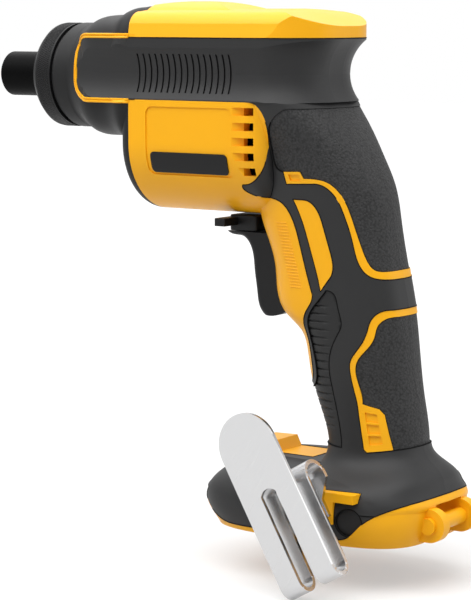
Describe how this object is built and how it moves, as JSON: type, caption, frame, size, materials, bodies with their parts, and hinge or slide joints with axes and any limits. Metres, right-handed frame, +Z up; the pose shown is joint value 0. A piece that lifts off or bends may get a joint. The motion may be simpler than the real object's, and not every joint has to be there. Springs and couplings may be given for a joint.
{
  "type": "cordless drywall screwdriver",
  "caption": "Pistol-grip cordless drywall screwdriver with depth-setting nose collar, trigger, reverse lever, moulded grip, steel belt hook and slide-on battery foot.",
  "frame": {"origin": "on the spindle axis, in the bit socket, in the plane of the depth collar's front face", "axes": "+X along the spindle towards the rear, +Z up away from the handle, +Y towards the tool's right side"},
  "size_m": [0.2214, 0.0928, 0.2229],
  "materials": {
    "yellow_plastic": "satin moulded plastic, warm yellow",
    "grip_rubber": "soft charcoal overmould",
    "pad_rubber": "pebbled charcoal overmould",
    "case_plastic": "fine matt charcoal moulding",
    "dark_plastic": "black moulded plastic",
    "black_metal": "black oxide",
    "steel": "ground steel",
    "hook_steel": "bright zinc-plated strap",
    "bronze": "sintered bronze",
    "aluminium": "die-cast",
    "lamination": "stacked sheet steel",
    "copper": "copper",
    "board": "potted circuit board",
    "lens": "clear lamp lens"
  },
  "bodies": {
    "casing": {"housing_left": "yellow_plastic", "housing_right": "yellow_plastic", "trim_left": "yellow_plastic", "trim_right": "yellow_plastic", "grip_left": "grip_rubber", "grip_right": "grip_rubber", "palm_pad_left": "pad_rubber", "palm_pad_right": "pad_rubber", "heel_pad_left": "pad_rubber", "heel_pad_right": "pad_rubber", "finger_panel_left": "grip_rubber", "finger_panel_right": "grip_rubber", "badge_left": "dark_plastic", "badge_right": "dark_plastic", "gear_case": "case_plastic", "nose_seal": "grip_rubber", "spindle_bush": "bronze", "gear_bearing": "steel", "gear_plate": "aluminium", "motor_front_bearing": "steel", "motor_rear_bearing": "steel", "stator_core": "lamination", "stator_coils": "copper", "sensor_board": "board", "switch_body": "dark_plastic", "trigger_spring": "steel", "lever_pin": "steel", "controller": "board", "terminal_block": "dark_plastic", "battery_contacts": "copper", "led_lens": "lens", "belt_hook": "hook_steel", "hook_screw": "black_metal", "housing_screws": "black_metal"},
    "trigger": {"trigger": "dark_plastic"},
    "lever": {"reverse_lever": "dark_plastic"},
    "collar": {"depth_collar": "dark_plastic"},
    "locator": {"depth_locator": "black_metal"},
    "gear": {"drive_gear": "steel", "clutch_spring": "steel"},
    "spindle": {"spindle": "steel", "bit_magnet": "steel", "clutch_plate": "steel"},
    "rotor": {"rotor_shaft": "steel", "rotor_core": "steel", "motor_pinion": "steel", "cooling_fan": "dark_plastic"}
  },
  "joints": [
    {"name": "trigger_pull", "type": "slide", "parent": "casing", "child": "trigger", "axis": [1, 0, 0], "range_m": [0, 0.006], "stiffness_N_per_m": 600, "springref_m": -0.002, "deforming": ["trigger_spring"]},
    {"name": "reverse_swing", "type": "hinge", "parent": "casing", "child": "lever", "pos_m": [0.114, 0, -0.0565], "axis": [0, 0, 1], "range_deg": [-7, 7]},
    {"name": "collar_turn", "type": "hinge", "parent": "casing", "child": "collar", "pos_m": [0, 0, 0], "axis": [1, 0, 0], "range_deg": [-270, 270]},
    {"name": "locator_slide", "type": "slide", "parent": "casing", "child": "locator", "axis": [1, 0, 0], "range_m": [-0.003, 0.003]},
    {"name": "gear_spin", "type": "hinge", "parent": "casing", "child": "gear", "pos_m": [0, 0, 0], "axis": [1, 0, 0], "continuous": true},
    {"name": "rotor_spin", "type": "hinge", "parent": "casing", "child": "rotor", "pos_m": [0, 0, -0.026], "axis": [1, 0, 0], "continuous": true},
    {"name": "spindle_push", "type": "slide", "parent": "gear", "child": "spindle", "axis": [1, 0, 0], "range_m": [0, 0.0025], "stiffness_N_per_m": 2000, "springref_m": -0.002, "deforming": ["clutch_spring"]}
  ],
  "couplings": [
    {"joint": "collar_turn", "follows": "locator_slide", "rad_per_m": 1570.7},
    {"joint": "rotor_spin", "follows": "gear_spin", "ratio": -3.3333}
  ]
}
